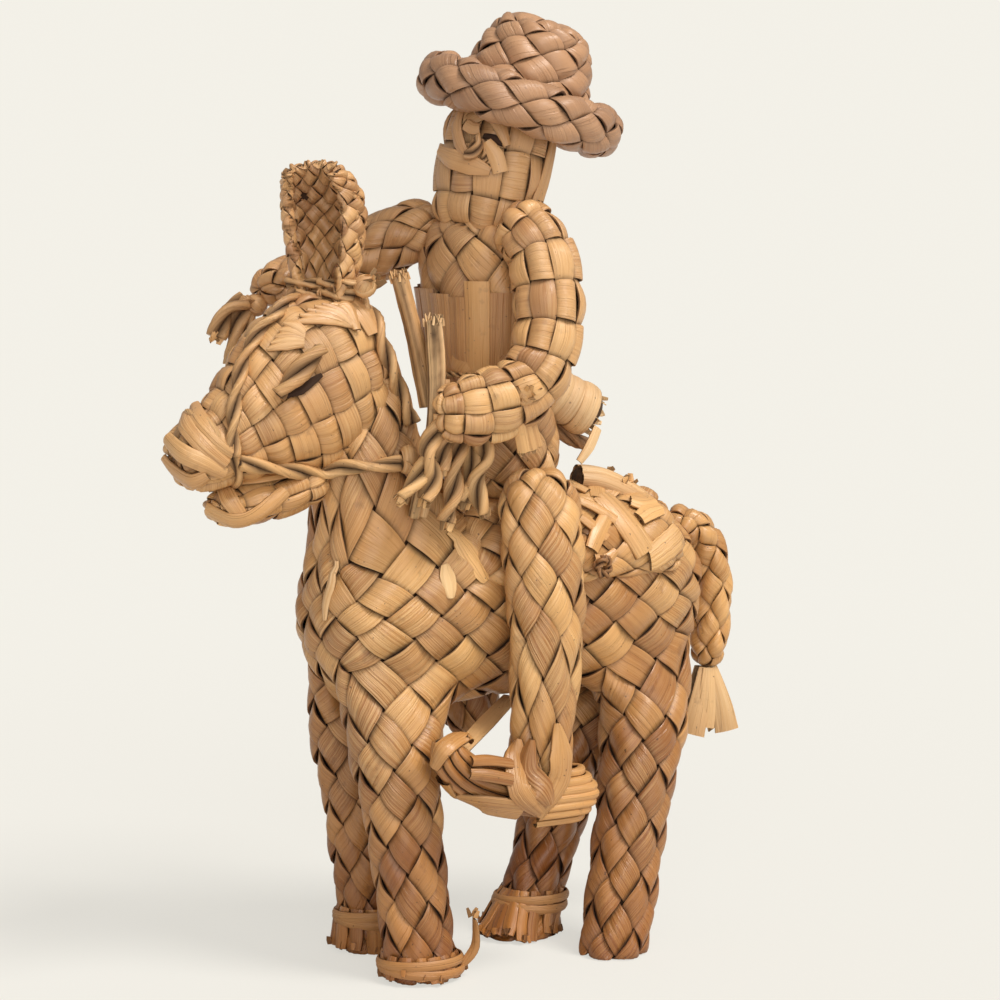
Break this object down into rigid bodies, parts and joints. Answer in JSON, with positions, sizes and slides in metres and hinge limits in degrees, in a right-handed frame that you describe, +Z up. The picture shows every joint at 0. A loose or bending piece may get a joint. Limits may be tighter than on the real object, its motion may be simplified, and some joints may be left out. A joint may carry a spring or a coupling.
{
  "type": "straw horse and rider figure",
  "caption": "Standing horse plaited from flat dried leaf strips, with a rider in a broad hat on its back, a saddle mat, a tied bridle and a tied tail.",
  "frame": {"origin": "middle of the footprint's bounding box, on the surface the hooves stand on", "axes": "+Z up, -X the way the horse faces, -Y the side of the horse that the picture shows"},
  "size_m": [0.256, 0.1104, 0.3788],
  "materials": {
    "leaf": "dried leaf, satin, fine lengthwise veins",
    "pale_leaf": "pale dried leaf, matte, frayed ends",
    "dark_leaf": "dark dried leaf, satin",
    "twisted_cord": "leaf strip twisted into cord, matte"
  },
  "bodies": {
    "root": {"horse_body": "leaf", "horse_head": "leaf", "lower_jaw": "leaf", "near_ear": "leaf", "tail_braid": "leaf", "saddle_mat": "leaf", "saddle_strap": "leaf", "saddle_fold": "leaf", "saddle_loop": "leaf", "rider_torso": "leaf", "rider_head": "leaf", "nose_curl": "leaf", "hat_brim": "leaf", "hat_crown": "leaf", "neck_strands": "leaf", "near_leg": "leaf", "near_foot": "leaf", "far_leg": "leaf", "near_arm": "leaf", "far_arm": "leaf", "bundle_stub": "leaf", "cheek_strap": "leaf", "short_stem": "leaf", "tail_tie": "pale_leaf", "tail_fringe": "pale_leaf", "saddle_roll": "pale_leaf", "waist_band": "pale_leaf", "back_bundle": "pale_leaf", "bundle_strip": "pale_leaf", "near_front_tie": "pale_leaf", "far_front_tie": "pale_leaf", "far_hind_tie": "pale_leaf", "chest_leaf": "pale_leaf", "shoulder_leaf": "pale_leaf", "stirrup_strap": "pale_leaf", "long_stem": "pale_leaf", "saddle_knot": "dark_leaf", "bundle_reed": "dark_leaf", "waist_tie": "twisted_cord", "near_hand_strands": "twisted_cord", "far_hand_strands": "twisted_cord", "muzzle_band": "twisted_cord", "throat_lash": "twisted_cord", "rein": "twisted_cord", "ear_tie": "twisted_cord"}
  },
  "joints": []
}
